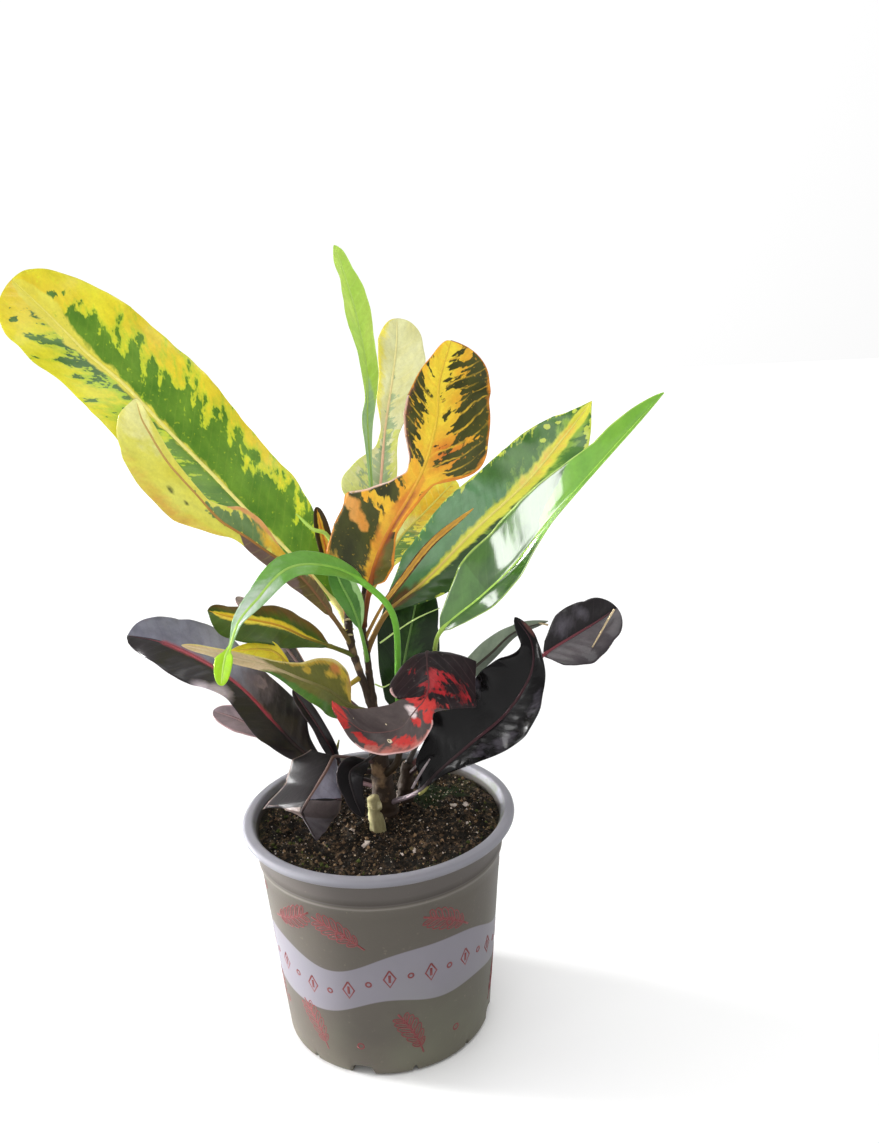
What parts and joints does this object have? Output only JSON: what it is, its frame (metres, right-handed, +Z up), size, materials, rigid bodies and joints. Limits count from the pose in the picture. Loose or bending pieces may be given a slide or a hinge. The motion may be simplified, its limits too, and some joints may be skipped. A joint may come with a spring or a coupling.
{
  "type": "potted croton",
  "caption": "Young croton with waved, variegated and dark leaves on rooted cuttings, in a round tapered nursery pot filled with potting soil.",
  "frame": {"origin": "middle of the pot's flat underside, at the height of the surface it stands on", "axes": "+Z up along the pot's axis, -Y towards the side that the picture shows, +X to that side's right"},
  "size_m": [0.2649, 0.1393, 0.3412],
  "materials": {
    "pot": "thin moulded taupe plastic with a greyer rolled rim",
    "soil": "dark crumbly potting soil with pale grains",
    "stem": "knobby brown bark with leaf scars",
    "stub": "pale dry cut stub",
    "leaf_yellow": "glossy yellow leaf with a veined green centre",
    "leaf_green": "glossy green leaf with a yellow or lime band",
    "leaf_lime": "glossy fresh lime green leaf",
    "leaf_pale": "pale cream-yellow leaf",
    "leaf_orange": "glossy orange leaf with dark olive blotches",
    "leaf_tan": "drying tan and olive leaf",
    "leaf_dark": "glossy near-black leaf with a dark red midrib",
    "leaf_red": "glossy dark leaf with red blotches"
  },
  "bodies": {
    "root": {"pot": "pot", "soil": "soil", "stem_main": "stem", "stem_dark": "stem", "stem_stub": "stub", "leaf_left_long": "leaf_yellow", "leaf_left_folded": "leaf_yellow", "leaf_orange_twisted": "leaf_orange", "leaf_top_lime": "leaf_lime", "leaf_top_pale": "leaf_pale", "leaf_right_banded": "leaf_green", "leaf_right_glossy": "leaf_green", "leaf_orange_quill": "leaf_orange", "leaf_back_yellow": "leaf_yellow", "leaf_upright_dark": "leaf_green", "leaf_thread_lime": "leaf_lime", "leaf_interrupted": "leaf_lime", "leaf_small_green": "leaf_green", "leaf_small_banded": "leaf_green", "leaf_curled_tan": "leaf_tan", "leaf_small_yellow": "leaf_yellow", "leaf_back_green": "leaf_green", "leaf_dark_left": "leaf_dark", "leaf_dark_left_low": "leaf_dark", "leaf_dark_slender": "leaf_dark", "leaf_dark_crumpled": "leaf_dark", "leaf_dark_hanging": "leaf_dark", "leaf_red_twisted": "leaf_red", "leaf_dark_cupped": "leaf_dark", "leaf_dark_oval": "leaf_dark", "leaf_dark_back": "leaf_green", "leaf_dark_behind": "leaf_dark"}
  },
  "joints": []
}
